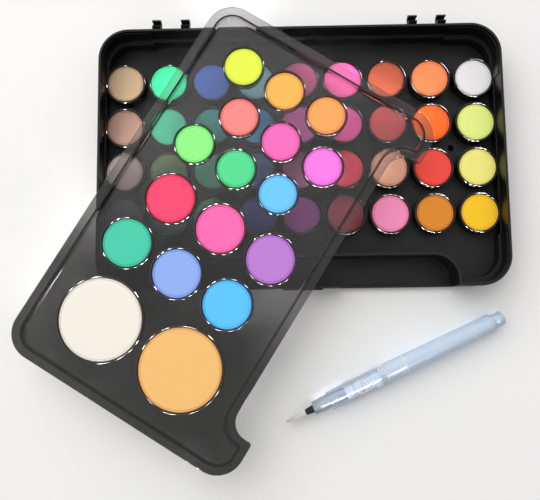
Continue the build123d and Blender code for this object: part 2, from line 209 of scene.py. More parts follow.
camera_data = bpy.data.cameras.new("camera")
camera_data.lens = 40.0
camera_data.sensor_width = 36.0
camera_data.clip_start = 0.01
camera = bpy.data.objects.new("camera", camera_data)
camera_right = Vector((0.999817, -0.013748, -0.013275))
camera_up = Vector((0.014976, 0.995138, 0.097347))
camera_back = Vector((0.011872, -0.097528, 0.995162))
camera.location = (-0.01505, -0.09078, 0.36956)
camera.rotation_euler = Matrix((camera_right, camera_up, camera_back)).transposed().to_euler()
bpy.context.scene.collection.objects.link(camera)
bpy.context.scene.camera = camera
bpy.context.scene.view_settings.view_transform = "Standard"
bpy.context.scene.cycles.caustics_reflective = False

# Black box
# One moulding of black polystyrene: level faces have a fine satin texture from
# the mould and are painted lighter than the walls, as painted sheen of the light
# from above; walls are smoother, every edge has a soft radius, and the mould's
# gate has left a pit in the floor, painted near black and dull as painted shade.
box_black, box_shader = finish("black_plastic", (0.006, 0.006, 0.0065), 0.12)
box_tree = box_black.node_tree
facing = box_tree.nodes.new("ShaderNodeSeparateXYZ")
box_tree.links.new(
    box_tree.nodes.new("ShaderNodeNewGeometry").outputs["Normal"], facing.inputs["Vector"]
)
level_sharpness = 12.0
level_face = calc(
    box_tree, "POWER", calc(box_tree, "MAXIMUM", facing.outputs["Z"], 0.0), level_sharpness
)
# Lighter black for level faces only: painted sheen standing for the light they catch from above.
painted_sheen_black = blended(
    box_tree, grain(box_tree, 0.012, 0, 1), (0.0125, 0.0125, 0.0128), (0.0165, 0.0165, 0.0168)
)
back_low, back_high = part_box("box_tablet_row2_column8")
front_low, front_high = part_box("box_tablet_row3_column9")
seen_from_above = box_tree.nodes.new("ShaderNodeVectorMath")
seen_from_above.operation = "MULTIPLY"
seen_from_above.inputs[1].default_value = (1, 1, 0)
box_tree.links.new(
    box_tree.nodes.new("ShaderNodeTexCoord").outputs["Object"], seen_from_above.inputs[0]
)
from_gate = box_tree.nodes.new("ShaderNodeVectorMath")
from_gate.operation = "DISTANCE"
box_tree.links.new(seen_from_above.outputs["Vector"], from_gate.inputs[0])
from_gate.inputs[1].default_value = (
    (back_low[0] + front_high[0]) / 2,
    (back_high[1] + front_low[1]) / 2,
    0,
)
gate_radius = 0.00188
# The gate pit is painted near black and without shine: painted shade in the hole.
gate_painted_shade = calc(box_tree, "LESS_THAN", from_gate.outputs["Value"], gate_radius)
black_with_painted_sheen = blended(box_tree, level_face, (0.0028, 0.0028, 0.003), painted_sheen_black)
box_tree.links.new(
    blended(box_tree, gate_painted_shade, black_with_painted_sheen, (0.0008, 0.0008, 0.0008)),
    box_shader.inputs["Base Color"],
)
box_shine = 0.3
gate_shine_lost = -0.28
box_tree.links.new(
    calc(box_tree, "MULTIPLY_ADD", gate_painted_shade, gate_shine_lost, box_shine),
    box_shader.inputs["Specular IOR Level"],
)
wall_roughness = grain(box_tree, 0.02, 0.26, 0.34)
level_more = 0.06
box_tree.links.new(
    calc(box_tree, "MULTIPLY_ADD", level_face, level_more, wall_roughness),
    box_shader.inputs["Roughness"],
)
edge_light = box_tree.nodes.new("ShaderNodeBevel")
edge_light.samples = 4
edge_light.inputs["Radius"].default_value = 0.00035
ripple = calc(
    box_tree,
    "ADD",
    grain(box_tree, 0.03, 0, 1, detail=0.0),
    calc(box_tree, "MULTIPLY", grain(box_tree, 0.0005, 0, 1), 0.02),
)
relief(box_tree, box_shader, ripple, 0.00012, edge_light.outputs["Normal"])
box_mesh = nodes["base_box"].data
box_mesh.materials.clear()
box_mesh.materials.append(box_black)

# Paint tablets
# Discs of pigment pressed into their cups by a punch: a rounded, slightly worn
# edge, the faint ring that the punch leaves just inside it, and a fine grain.
punch_tree = bpy.data.node_groups.new("Pressed tablet", "GeometryNodeTree")
punch_tree.interface.new_socket("Geometry", in_out="OUTPUT", socket_type="NodeSocketGeometry")
for socket_name, socket_kind in (
    ("Radius", "NodeSocketFloat"),
    ("Thickness", "NodeSocketFloat"),
    ("Middle", "NodeSocketVector"),
    ("Worn edge", "NodeSocketFloat"),
    ("Ring inset", "NodeSocketFloat"),
    ("Ring depth", "NodeSocketFloat"),
    ("Paint", "NodeSocketMaterial"),
):
    punch_tree.interface.new_socket(socket_name, in_out="INPUT", socket_type=socket_kind)
given = punch_tree.nodes.new("NodeGroupInput").outputs
disc = punch_tree.nodes.new("GeometryNodeMeshCylinder")
disc.fill_type = "TRIANGLE_FAN"
disc.inputs["Vertices"].default_value = 80
disc.inputs["Side Segments"].default_value = 3
disc.inputs["Fill Segments"].default_value = 14
punch_tree.links.new(given["Radius"], disc.inputs["Radius"])
punch_tree.links.new(given["Thickness"], disc.inputs["Depth"])
where = punch_tree.nodes.new("GeometryNodeInputPosition").outputs[0]
parts = punch_tree.nodes.new("ShaderNodeSeparateXYZ")
punch_tree.links.new(where, parts.inputs[0])
away = calc(
    punch_tree,
    "SQRT",
    calc(
        punch_tree,
        "ADD",
        calc(punch_tree, "POWER", calc(punch_tree, "ABSOLUTE", parts.outputs["X"]), 2.0),
        calc(punch_tree, "POWER", calc(punch_tree, "ABSOLUTE", parts.outputs["Y"]), 2.0),
    ),
)
share = calc(punch_tree, "MAXIMUM", calc(punch_tree, "DIVIDE", away, given["Radius"]), 0.001)
from_edge = calc(punch_tree, "POWER", calc(punch_tree, "SUBTRACT", 1.0, share, clamp=True), 2.0)
new_share = calc(punch_tree, "SUBTRACT", 1.0, from_edge)
outwards = calc(punch_tree, "DIVIDE", new_share, share)
inset = calc(punch_tree, "MULTIPLY", from_edge, given["Radius"])
just_below_top = 0.49
upper = calc(
    punch_tree,
    "GREATER_THAN",
    parts.outputs["Z"],
    calc(punch_tree, "MULTIPLY", given["Thickness"], just_below_top),
)
in_world = punch_tree.nodes.new("ShaderNodeVectorMath")
in_world.operation = "ADD"
punch_tree.links.new(where, in_world.inputs[0])
punch_tree.links.new(given["Middle"], in_world.inputs[1])
wear = punch_tree.nodes.new("ShaderNodeTexNoise")
wear.inputs["Scale"].default_value = 420.0
wear.inputs["Detail"].default_value = 3.0
punch_tree.links.new(in_world.outputs[0], wear.inputs["Vector"])
worn = calc(
    punch_tree,
    "MULTIPLY",
    given["Worn edge"],
    calc(punch_tree, "MULTIPLY_ADD", wear.outputs["Fac"], 0.9, 0.5),
)
edge_share = calc(
    punch_tree, "SUBTRACT", 1.0, calc(punch_tree, "DIVIDE", inset, worn), clamp=True
)
edge_drop = calc(punch_tree, "MULTIPLY", calc(punch_tree, "POWER", edge_share, 2.0), worn)
ring_spread = 0.3
ring_place = calc(
    punch_tree,
    "DIVIDE",
    calc(punch_tree, "SUBTRACT", inset, given["Ring inset"]),
    calc(punch_tree, "MULTIPLY", given["Ring inset"], ring_spread),
)
ring_dip = calc(
    punch_tree,
    "DIVIDE",
    given["Ring depth"],
    calc(punch_tree, "ADD", 1.0, calc(punch_tree, "MULTIPLY", ring_place, ring_place)),
)
unevenness = 0.00007
uneven = calc(punch_tree, "MULTIPLY", wear.outputs["Fac"], unevenness)
lowered = calc(
    punch_tree,
    "MULTIPLY",
    upper,
    calc(punch_tree, "ADD", calc(punch_tree, "ADD", edge_drop, ring_dip), uneven),
)
pressed = punch_tree.nodes.new("ShaderNodeCombineXYZ")
for side in ("X", "Y"):
    punch_tree.links.new(
        calc(punch_tree, "MULTIPLY", parts.outputs[side], outwards), pressed.inputs[side]
    )
punch_tree.links.new(calc(punch_tree, "SUBTRACT", parts.outputs["Z"], lowered), pressed.inputs["Z"])
noted = punch_tree.nodes.new("GeometryNodeStoreNamedAttribute")
noted.inputs["Name"].default_value = "edge_mm"
punch_tree.links.new(disc.outputs["Mesh"], noted.inputs["Geometry"])
punch_tree.links.new(calc(punch_tree, "MULTIPLY", inset, 1000.0), noted.inputs["Value"])
shaped = punch_tree.nodes.new("GeometryNodeSetPosition")
punch_tree.links.new(noted.outputs[0], shaped.inputs["Geometry"])
punch_tree.links.new(pressed.outputs[0], shaped.inputs["Position"])
laid = punch_tree.nodes.new("GeometryNodeTransform")
punch_tree.links.new(shaped.outputs[0], laid.inputs["Geometry"])
punch_tree.links.new(given["Middle"], laid.inputs["Translation"])
smooth = punch_tree.nodes.new("GeometryNodeSetShadeSmooth")
punch_tree.links.new(laid.outputs[0], smooth.inputs["Geometry"])
whole = punch_tree.nodes.new("GeometryNodeRealizeInstances")
punch_tree.links.new(smooth.outputs[0], whole.inputs["Geometry"])
painted = punch_tree.nodes.new("GeometryNodeSetMaterial")
punch_tree.links.new(whole.outputs[0], painted.inputs["Geometry"])
punch_tree.links.new(given["Paint"], painted.inputs["Material"])
punch_tree.links.new(
    painted.outputs[0], punch_tree.nodes.new("NodeGroupOutput").inputs["Geometry"]
)


def grown(name, tree, values):
    """The plain object that a node tree makes from these inputs."""
    piece = bpy.data.objects.new(name, bpy.data.meshes.new(name))
    bpy.context.scene.collection.objects.link(piece)
    builder = piece.modifiers.new("Builder", "NODES")
    builder.node_group = tree
    for socket in tree.interface.items_tree:
        if socket.name in values:
            builder[socket.identifier] = values[socket.name]
    ready = bpy.context.evaluated_depsgraph_get()
    mesh = bpy.data.meshes.new_from_object(piece.evaluated_get(ready))
    piece.modifiers.remove(builder)
    piece.data = mesh
    return piece


def linear(*screen):
    """A colour as seen on a screen, from 0 to 255, in the shader's own units."""
    return [((c / 255 + 0.055) / 1.055) ** 2.4 if c > 10 else c / 3295 for c in screen]


ring_middle_mm = 1.25
ring_half_width_mm = 0.35
rim_width_mm = 0.9
ring_painted_shade = 0.75
chalk_share = 0.10


def paint(name, colour):
    """Pressed pigment of one colour: grainy and matt, with painted shade darkening the punch's ring
    and the edge.
    """
    material, shader = finish(name, colour, 0.85)
    tree = material.node_tree
    edge = tree.nodes.new("ShaderNodeAttribute")
    edge.attribute_name = "edge_mm"
    inwards = edge.outputs["Fac"]
    from_ring = calc(tree, "ABSOLUTE", calc(tree, "SUBTRACT", inwards, ring_middle_mm))
    ring = calc(
        tree, "SUBTRACT", 1.0, calc(tree, "DIVIDE", from_ring, ring_half_width_mm), clamp=True
    )
    rim_painted_shade = calc(tree, "SUBTRACT", 1.0, calc(tree, "DIVIDE", inwards, rim_width_mm), clamp=True)
    # Painted shade: darker in the punch's ring groove and at the dropped edge, mixed with random
    # grain.
    painted_shade_and_grain = calc(
        tree,
        "ADD",
        calc(tree, "MULTIPLY", ring, ring_painted_shade),
        calc(tree, "ADD", rim_painted_shade, grain(tree, 0.0009, -0.1, 0.16)),
        clamp=True,
    )
    painted_shade_colour = [c**2.1 * 0.7 for c in colour]
    ground = blended(tree, painted_shade_and_grain, colour, painted_shade_colour)
    chalk = calc(
        tree, "MULTIPLY", grain(tree, 0.00045, 0, 1, detail=5.0), chalk_share, clamp=True
    )
    pale = [c + (1 - c) * 0.35 for c in colour]
    tree.links.new(blended(tree, chalk, ground, pale), shader.inputs["Base Color"])
    shader.inputs["Specular IOR Level"].default_value = 0.25
    relief(tree, shader, grain(tree, 0.0004, 0, 1, detail=6.0), 0.00006)
    return material


# Each tablet stands clear of its cup's wall by the pressing gap. The cups are
# kept by body, with the middle, the top and the radius of the tablet in each.
worn_edge = 0.00045
ring_inset = 0.00125
ring_depth = 0.00016
pressing_gap = 0.00018
cups = {"root": [], "tray": []}


def press_tablet(name, node, middle, radius, slot_name, screen):
    """One tablet, in place of its solid."""
    low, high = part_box(node)
    thickness = high[2] - low[2]
    piece = grown(
        name,
        punch_tree,
        {
            "Radius": radius - pressing_gap,
            "Thickness": thickness,
            "Middle": (middle[0], middle[1], (high[2] + low[2]) / 2),
            "Worn edge": worn_edge,
            "Ring inset": ring_inset,
            "Ring depth": ring_depth,
            "Paint": paint(slot_name + "_" + name.split("_tablet_")[-1], linear(*screen)),
        },
    )
    body = nodes[node]["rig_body"]
    cups[body].append((middle[0], middle[1], high[2], radius))
    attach(piece, body)
    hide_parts(node)


box_paints = (
    (
        ("tan", (196, 168, 134)),
        ("green", (52, 205, 140)),
        ("royal_blue", (52, 88, 158)),
        ("light_teal", (132, 188, 196)),
        ("magenta", (196, 84, 134)),
        ("pink", (255, 104, 178)),
        ("burnt_orange", (176, 80, 50)),
        ("peach_orange", (255, 146, 88)),
        ("white", (240, 237, 240)),
    ),
    (
        ("taupe", (150, 116, 102)),
        ("sea_green", (60, 176, 140)),
        ("teal", (52, 140, 130)),
        ("blue", (70, 140, 190)),
        ("plum", (204, 90, 168)),
        ("hot_pink", (200, 74, 140)),
        ("brick_red", (178, 68, 68)),
        ("orange", (255, 108, 26)),
        ("lemon", (234, 246, 140)),
    ),
    (
        ("warm_grey", (150, 136, 128)),
        ("olive", (100, 124, 84)),
        ("bottle_green", (44, 120, 96)),
        ("indigo", (62, 84, 128)),
        ("mulberry", (128, 74, 104)),
        ("crimson", (184, 46, 66)),
        ("skin_pink", (222, 164, 136)),
        ("coral_red", (255, 78, 66)),
        ("light_yellow", (248, 240, 132)),
    ),
    (
        ("slate", (88, 88, 96)),
        ("dark_teal", (36, 96, 88)),
        ("leaf_green", (60, 140, 84)),
        ("navy", (44, 48, 104)),
        ("violet", (94, 32, 92)),
        ("maroon", (122, 42, 54)),
        ("rose_pink", (255, 150, 196)),
        ("amber", (228, 142, 34)),
        ("yellow", (255, 204, 22)),
    ),
)
for row, row_paints in enumerate(box_paints):
    for column, (paint_name, screen) in enumerate(row_paints):
        node = f"box_tablet_row{row + 1}_column{column + 1}"
        low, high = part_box(node)
        press_tablet(
            f"pressed_tablet_row{row + 1}_column{column + 1}",
            node,
            ((low[0] + high[0]) / 2, (low[1] + high[1]) / 2),
            (high[0] - low[0]) / 2,
            "paint_" + paint_name,
            screen,
        )

# Smoky tray
# One injection moulding of smoke-grey clear styrene, lifted out of the box and
# laid slantwise on its rim. Its colour is painted darker towards its lower end, as
# painted shade for the shadow under that end, and light bends in it.
smoke, smoke_shader = finish("smoky_plastic", (0.9, 0.9, 0.9), 0.03)
smoke_tree = smoke.node_tree
smoke_shader.inputs["Transmission Weight"].default_value = 1.0
smoke_shader.inputs["IOR"].default_value = 1.5
tray_middle = (-0.0448, -0.0471, 0)
tray_turn = math.radians(-32.3)
tray_place = smoke_tree.nodes.new("ShaderNodeMapping")
tray_place.vector_type = "TEXTURE"
tray_place.inputs["Location"].default_value = tray_middle
tray_place.inputs["Rotation"].default_value = (0, 0, tray_turn)
smoke_tree.links.new(
    smoke_tree.nodes.new("ShaderNodeTexCoord").outputs["Object"], tray_place.inputs["Vector"]
)
tray_parts = smoke_tree.nodes.new("ShaderNodeSeparateXYZ")
smoke_tree.links.new(tray_place.outputs["Vector"], tray_parts.inputs["Vector"])
towards_top = smoke_tree.nodes.new("ShaderNodeMapRange")
towards_top.interpolation_type = "SMOOTHSTEP"
towards_top.inputs["From Min"].default_value = -0.065
towards_top.inputs["From Max"].default_value = 0.035
smoke_tree.links.new(tray_parts.outputs["Y"], towards_top.inputs["Value"])
painted_shade_and_cloud = calc(
    smoke_tree,
    "ADD",
    towards_top.outputs["Result"],
    grain(smoke_tree, 0.03, -0.05, 0.05),
    clamp=True,
)
# The lower end's near-black colour is painted shade for the shadow under it, not a darker dye.
smoke_tree.links.new(
    blended(smoke_tree, painted_shade_and_cloud, (0.085, 0.085, 0.083), (0.95, 0.945, 0.945)),
    smoke_shader.inputs["Base Color"],
)
smoke_tree.links.new(grain(smoke_tree, 0.006, 0.015, 0.05), smoke_shader.inputs["Roughness"])
relief(smoke_tree, smoke_shader, grain(smoke_tree, 0.016, 0, 1, detail=1.0), 0.00005)


def dye(material, density, colour=(0, 0, 0)):
    """Dye all through a clear piece, so that it darkens with its thickness."""
    tree = material.node_tree
    inside = tree.nodes.new("ShaderNodeVolumeAbsorption")
    inside.inputs["Color"].default_value = (*colour, 1)
    inside.inputs["Density"].default_value = density
    tree.links.new(inside.outputs[0], tree.nodes["Material Output"].inputs["Volume"])


def let_lamps_through(material, shader, tint):
    """Lamps light what lies behind a clear piece, through its tint."""
    tree = material.node_tree
    passing = tree.nodes.new("ShaderNodeBsdfTransparent")
    passing.inputs["Color"].default_value = (*tint, 1)
    ray = tree.nodes.new("ShaderNodeLightPath")
    either = tree.nodes.new("ShaderNodeMixShader")
    tree.links.new(ray.outputs["Is Shadow Ray"], either.inputs[0])
    tree.links.new(shader.outputs[0], either.inputs[1])
    tree.links.new(passing.outputs[0], either.inputs[2])
    tree.links.new(either.outputs[0], tree.nodes["Material Output"].inputs["Surface"])


dye(smoke, 400.0, (0.02, 0.0, 0.01))
let_lamps_through(smoke, smoke_shader, (0.8, 0.8, 0.8))
tray_mesh = nodes["upper_tray"].data
tray_mesh.materials.clear()
tray_mesh.materials.append(smoke)

tray_small_paints = (
    ("paint_yellow_to_peach", ((236, 252, 78), (255, 190, 88), (255, 172, 96))),
    ("paint_coral_to_magenta", ((255, 142, 138), (255, 112, 196), (255, 128, 236))),
    ("paint_greens_and_sky_blue", ((150, 255, 140), (86, 226, 150), (112, 206, 255))),
)
small_radius = 0.0114
for row, (slot_name, screens) in enumerate(tray_small_paints):
    node = f"tray_small_tablets_row{row + 1}"
    low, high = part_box(node)
    first = Vector((low[0] + small_radius, high[1] - small_radius))
    last = Vector((high[0] - small_radius, low[1] + small_radius))
    for place, screen in enumerate(screens):
        press_tablet(
            f"small_tray_tablet_{3 * row + place + 1}",
            node,
            first.lerp(last, place / 2),
            small_radius,
            slot_name,
            screen,
        )

tray_large_paints = (
    ("tray_medium_tablet_1", "paint_red_pink", (255, 72, 118)),
    ("tray_medium_tablet_2", "paint_bright_pink", (255, 110, 184)),
    ("tray_medium_tablet_3", "paint_lilac", (192, 128, 216)),
    ("tray_medium_tablet_4", "paint_aqua_green", (72, 208, 176)),
    ("tray_medium_tablet_5", "paint_periwinkle", (146, 178, 244)),
    ("tray_medium_tablet_6", "paint_sky_blue", (92, 200, 255)),
    ("tray_large_tablet_1", "paint_cream", (244, 239, 228)),
    ("tray_large_tablet_2", "paint_ochre", (246, 194, 118)),
)
for node, slot_name, screen in tray_large_paints:
    low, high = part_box(node)
    press_tablet(
        "pressed_" + node,
        node,
        ((low[0] + high[0]) / 2, (low[1] + high[1]) / 2),
        (high[0] - low[0]) / 2,
        slot_name,
        screen,
    )


# Rolled lips
# Each cup and each well ends in a thin rounded bead, polished by the mould, and
# the small lamps glint on it.
def roll_lips(name, body, rise, width, material, sides=80):
    """Beads round all the cups of one body, each a low arch a little above the lip."""
    shape = bmesh.new()
    steps = 8
    for x, y, top, radius in cups[body]:
        rings = []
        for step in range(steps + 1):
            share = step / steps
            r = radius + bead_inset + share * width
            z = top + rise + bead_height * (1 - (2 * share - 1) ** 2) - bead_foot
            ring = []
            for side in range(sides):
                angle = 2 * math.pi * side / sides
                ring.append(
                    shape.verts.new((x + r * math.cos(angle), y + r * math.sin(angle), z))
                )
            rings.append(ring)
        for edge in (rings[-1], rings[0]):
            rings.append(
                [shape.verts.new((v.co.x, v.co.y, v.co.z - 2 * bead_foot)) for v in edge]
            )
        for near, far in zip(rings, rings[1:] + rings[:1]):
            for side in range(sides):
                after = (side + 1) % sides
                shape.faces.new((near[side], far[side], far[after], near[after]))
    bmesh.ops.recalc_face_normals(shape, faces=shape.faces[:])
    for face in shape.faces:
        face.smooth = True
    mesh = bpy.data.meshes.new(name)
    shape.to_mesh(mesh)
    shape.free()
    mesh.set_sharp_from_angle(angle=math.radians(50))
    mesh.materials.append(material)
    piece = bpy.data.objects.new(name, mesh)
    bpy.context.scene.collection.objects.link(piece)
    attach(piece, body)
    return piece


bead_inset = 0.00006
bead_height = 0.00016
bead_foot = 0.00002


def polished(name, colour, smooth, dull):
    """Mould-polished plastic whose roughness wanders a little."""
    material, shader = finish(name, colour, smooth)
    tree = material.node_tree
    tree.links.new(grain(tree, 0.002, smooth, dull), shader.inputs["Roughness"])
    return material


lip_black = polished("lip_black", (0.004, 0.004, 0.0042), 0.06, 0.12)
# The tray's lips are opaque and near black though the tray is clear: a painted dark ring for the
# shade seen down the clear well walls.
lip_painted_dark = polished("lip_painted_dark", (0.02, 0.019, 0.0195), 0.05, 0.1)
cup_lip_rise = 0.0003
cup_lip_width = 0.0009
well_lip_rise = 0.0005
well_lip_width = 0.00098
cup_lips = roll_lips(
    "box_cup_lips", "root", cup_lip_rise, cup_lip_width, lip_black
)
well_lips = roll_lips(
    "tray_well_lips", "tray", well_lip_rise, well_lip_width, lip_painted_dark
)
# Water brush, turned and moulded pieces
# Each is round about the brush's axis, which lies on the table from the tip of
# the hairs to the filling plug; corners have the small radii of a real moulding.
brush_tip = Vector((-0.0116, -0.1577, 0.0062))
brush_turn = math.radians(24.65)
lay_brush = Matrix.Translation(brush_tip) @ Matrix.Rotation(brush_turn, 4, "Z")
mm = 0.001


def softened(corners):
    """A closed profile of (place, radius, rounding) corners in millimetres, rounded off."""
    path = []
    for number, (place, radius, rounding) in enumerate(corners):
        here = Vector((place, radius))
        if rounding == 0:
            path.append(here)
            continue
        before = Vector(corners[number - 1][:2])
        after = Vector(corners[(number + 1) % len(corners)][:2])
        start = here + (before - here).normalized() * rounding
        end = here + (after - here).normalized() * rounding
        for step in range(5):
            t = step / 4
            path.append(start * (1 - t) ** 2 + here * 2 * t * (1 - t) + end * t**2)
    return path


def turned(name, node, profile, material, swell=None, sides=72):
    """A round piece on the brush's axis, in place of its solid; swell adds to the radius."""
    shape = bmesh.new()
    rings = []
    for place, radius in profile:
        ring = []
        for side in range(sides):
            angle = 2 * math.pi * side / sides
            r = radius + (swell(place, radius, angle) if swell else 0)
            ring.append(
                shape.verts.new((place * mm, r * mm * math.cos(angle), r * mm * math.sin(angle)))
            )
        rings.append(ring)
    for near, far in zip(rings, rings[1:] + rings[:1]):
        for side in range(sides):
            after = (side + 1) % sides
            shape.faces.new((near[side], near[after], far[after], far[side]))
    bmesh.ops.remove_doubles(shape, verts=shape.verts[:], dist=1e-6)
    bmesh.ops.recalc_face_normals(shape, faces=shape.faces[:])
    for face in shape.faces:
        face.smooth = True
    shape.transform(lay_brush)
    mesh = bpy.data.meshes.new(name)
    shape.to_mesh(mesh)
    shape.free()
    mesh.set_sharp_from_angle(angle=math.radians(38))
    mesh.materials.append(material)
    piece = bpy.data.objects.new(name, mesh)
    bpy.context.scene.collection.objects.link(piece)
    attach(piece, nodes[node]["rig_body"])
    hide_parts(node)
    return piece


# Black feed cone
# A nylon cone that grips the hairs and feeds them water, pushed into the nose.
cone_black, cone_shader = finish("ferrule_black", (0.012, 0.012, 0.013), 0.32)
cone_tree = cone_black.node_tree
cone_tree.links.new(grain(cone_tree, 0.0012, 0.24, 0.42), cone_shader.inputs["Roughness"])
relief(cone_tree, cone_shader, grain(cone_tree, 0.0003, 0, 1), 0.00001)
turned(
    "feed_cone",
    "brush_ferrule",
    softened(
        [
            (13.3, 1.35, 0.0),
            (13.3, 1.65, 0.15),
            (18.5, 2.4, 0.2),
            (18.5, 2.0, 0.0),
            (21.0, 2.0, 0.2),
            (21.0, 0.5, 0.0),
            (14.5, 0.5, 0.0),
            (14.5, 1.35, 0.0),
        ]
    ),
    cone_black,
)


# Clear nose
# Water-clear styrene, stepped down from the grip, with its spigot inside it.
def clear_plastic(name, dark, light, rough, tint, density, dye_colour, clearness):
    """Clear plastic with faint flow marks along the brush."""
    material, shader = finish(name, light, rough)
    tree = material.node_tree
    shader.inputs["Transmission Weight"].default_value = clearness
    shader.inputs["IOR"].default_value = 1.49
    along = ((0, 0, brush_turn), (4, 1, 1))
    tree.links.new(
        blended(tree, grain(tree, 0.003, 0, 1, along), dark, light), shader.inputs["Base Color"]
    )
    tree.links.new(grain(tree, 0.002, rough, rough + 0.06, along), shader.inputs["Roughness"])
    relief(tree, shader, grain(tree, 0.0016, 0, 1, along, 1.0), 0.00003)
    dye(material, density, dye_colour)
    let_lamps_through(material, shader, tint)
    return material


nose_clear = clear_plastic(
    "nose_clear",
    (0.58, 0.62, 0.67),
    (0.70, 0.74, 0.78),
    0.16,
    (0.85, 0.87, 0.9),
    60.0,
    (0.0, 0.1, 0.2),
    0.7,
)
clear_nose = turned(
    "clear_nose",
    "brush_nozzle",
    softened(
        [
            (18.5, 2.05, 0.0),
            (18.5, 3.85, 0.5),
            (22.6, 4.1, 0.0),
            (22.9, 4.32, 0.12),
            (28.8, 4.6, 0.0),
            (28.8, 4.05, 0.0),
            (39.4, 4.05, 0.3),
            (39.4, 1.5, 0.2),
            (26.0, 1.5, 0.0),
            (26.0, 2.05, 0.0),
        ]
    ),
    nose_clear,
)

# Grey clear grip
# A thick tube of smoke-tinted styrene, widening to the collar; the barrel's
# thread and the flow plug show through it.
grip_clear = clear_plastic(
    "grip_clear",
    (0.68, 0.74, 0.82),
    (0.78, 0.83, 0.90),
    0.05,
    (0.85, 0.87, 0.9),
    60.0,
    (0.0, 0.12, 0.25),
    0.88,
)
grip_tube = turned(
    "grip_tube",
    "brush_grip",
    softened(
        [
            (28.8, 4.1, 0.0),
            (28.8, 5.4, 0.4),
            (33.4, 5.55, 0.0),
            (61.1, 5.96, 0.0),
            (61.4, 6.0, 0.1),
            (62.0, 6.0, 0.15),
            (62.0, 5.08, 0.0),
            (57.75, 5.08, 0.0),
            (57.75, 4.88, 0.0),
            (44.85, 4.88, 0.0),
            (44.85, 4.1, 0.0),
        ]
    ),
    grip_clear,
)

# White flow plug
# A porous white plug that lets the water through slowly, with fine pores.
plug_white, pores_shader = finish("plug_white", (0.82, 0.84, 0.86), 0.6)
pores_tree = plug_white.node_tree
pores_tree.links.new(
    blended(pores_tree, grain(pores_tree, 0.0005, 0, 1), (0.74, 0.77, 0.80), (0.90, 0.92, 0.93)),
    pores_shader.inputs["Base Color"],
)
relief(pores_tree, pores_shader, grain(pores_tree, 0.0004, 0, 1), 0.00005)
turned(
    "flow_plug",
    "brush_flow_plug",
    softened(
        [
            (39.45, 0.5, 0.0),
            (39.45, 4.05, 0.25),
            (41.9, 4.05, 0.0),
            (42.1, 3.8, 0.05),
            (42.5, 3.8, 0.05),
            (42.7, 4.05, 0.0),
            (44.85, 4.05, 0.25),
            (44.85, 0.5, 0.0),
        ]
    ),
    plug_white,
)


# Frosted barrel, seal collar and filling plug
# Soft milky polythene, squeezed to push the water out. It glows a little from
# within. The neck, with its moulded screw thread, and two thin lines are whiter.
def milky_plastic(name, dark, light, rough):
    """Translucent polythene with faint lengthwise flow marks and whiter parts."""
    material, shader = finish(name, light, rough)
    tree = material.node_tree
    shader.inputs["Transmission Weight"].default_value = 0.4
    shader.inputs["IOR"].default_value = 1.5
    shader.inputs["Subsurface Weight"].default_value = 0.35
    shader.inputs["Subsurface Radius"].default_value = (1.0, 1.1, 1.2)
    shader.inputs["Subsurface Scale"].default_value = 0.0012
    along = ((0, 0, brush_turn), (16, 1, 1))
    on_brush = tree.nodes.new("ShaderNodeMapping")
    on_brush.vector_type = "TEXTURE"
    on_brush.inputs["Location"].default_value = brush_tip
    on_brush.inputs["Rotation"].default_value = (0, 0, brush_turn)
    tree.links.new(
        tree.nodes.new("ShaderNodeTexCoord").outputs["Object"], on_brush.inputs["Vector"]
    )
    from_tip = tree.nodes.new("ShaderNodeSeparateXYZ")
    tree.links.new(on_brush.outputs["Vector"], from_tip.inputs["Vector"])
    neck = calc(tree, "LESS_THAN", from_tip.outputs["X"], neck_end)
    flow = blended(tree, grain(tree, 0.0035, 0, 1, along), dark, light)
    from_line = calc(
        tree,
        "MINIMUM",
        calc(tree, "ABSOLUTE", calc(tree, "SUBTRACT", from_tip.outputs["X"], front_line)),
        calc(tree, "ABSOLUTE", calc(tree, "SUBTRACT", from_tip.outputs["X"], back_line)),
    )
    pale = calc(tree, "MAXIMUM", neck, calc(tree, "LESS_THAN", from_line, line_half_width))
    tree.links.new(blended(tree, pale, flow, (0.94, 0.95, 0.96)), shader.inputs["Base Color"])
    tree.links.new(grain(tree, 0.003, rough, rough + 0.06, along), shader.inputs["Roughness"])
    relief(tree, shader, grain(tree, 0.002, 0, 1, along, 1.0), 0.000006)
    dye(material, 120.0, (0.1, 0.3, 0.55))
    let_lamps_through(material, shader, (0.6, 0.65, 0.7))
    return material


neck_end = 0.0605
front_line = 0.0658
back_line = 0.0786
line_half_width = 0.0004
barrel_frosted = milky_plastic("barrel_frosted", (0.67, 0.77, 0.89), (0.73, 0.83, 0.94), 0.24)
turned(
    "seal_ring",
    "brush_seal_collar",
    softened(
        [
            (62.0, 5.08, 0.0),
            (62.0, 5.7, 0.15),
            (63.5, 5.7, 0.1),
            (63.7, 5.55, 0.05),
            (64.0, 5.55, 0.05),
            (64.2, 5.7, 0.1),
            (65.5, 5.7, 0.15),
            (65.5, 5.08, 0.0),
        ]
    ),
    barrel_frosted,
)

thread_start = 46.05
thread_pitch = 2.0
thread_end = 56.05
thread_height = 0.4
neck_radius = 4.4
thread_step = 0.2
fade_length = 0.8
flank_steepness = 5.2
crest_level = 1.6


def thread_swell(place, radius, angle):
    """The screw thread's height at a place and an angle round the neck."""
    past_start = place - thread_start + thread_step
    before_end = thread_end + thread_step - place
    if abs(radius - neck_radius) > 0.01 or past_start <= 0 or before_end <= 0:
        return 0
    phase = (place / thread_pitch - angle / (2 * math.pi)) % 1
    crest = min(max(crest_level - abs(phase - 0.5) * flank_steepness, 0), 1)
    ends = min(past_start / fade_length, before_end / fade_length, 1)
    return thread_height * crest * ends


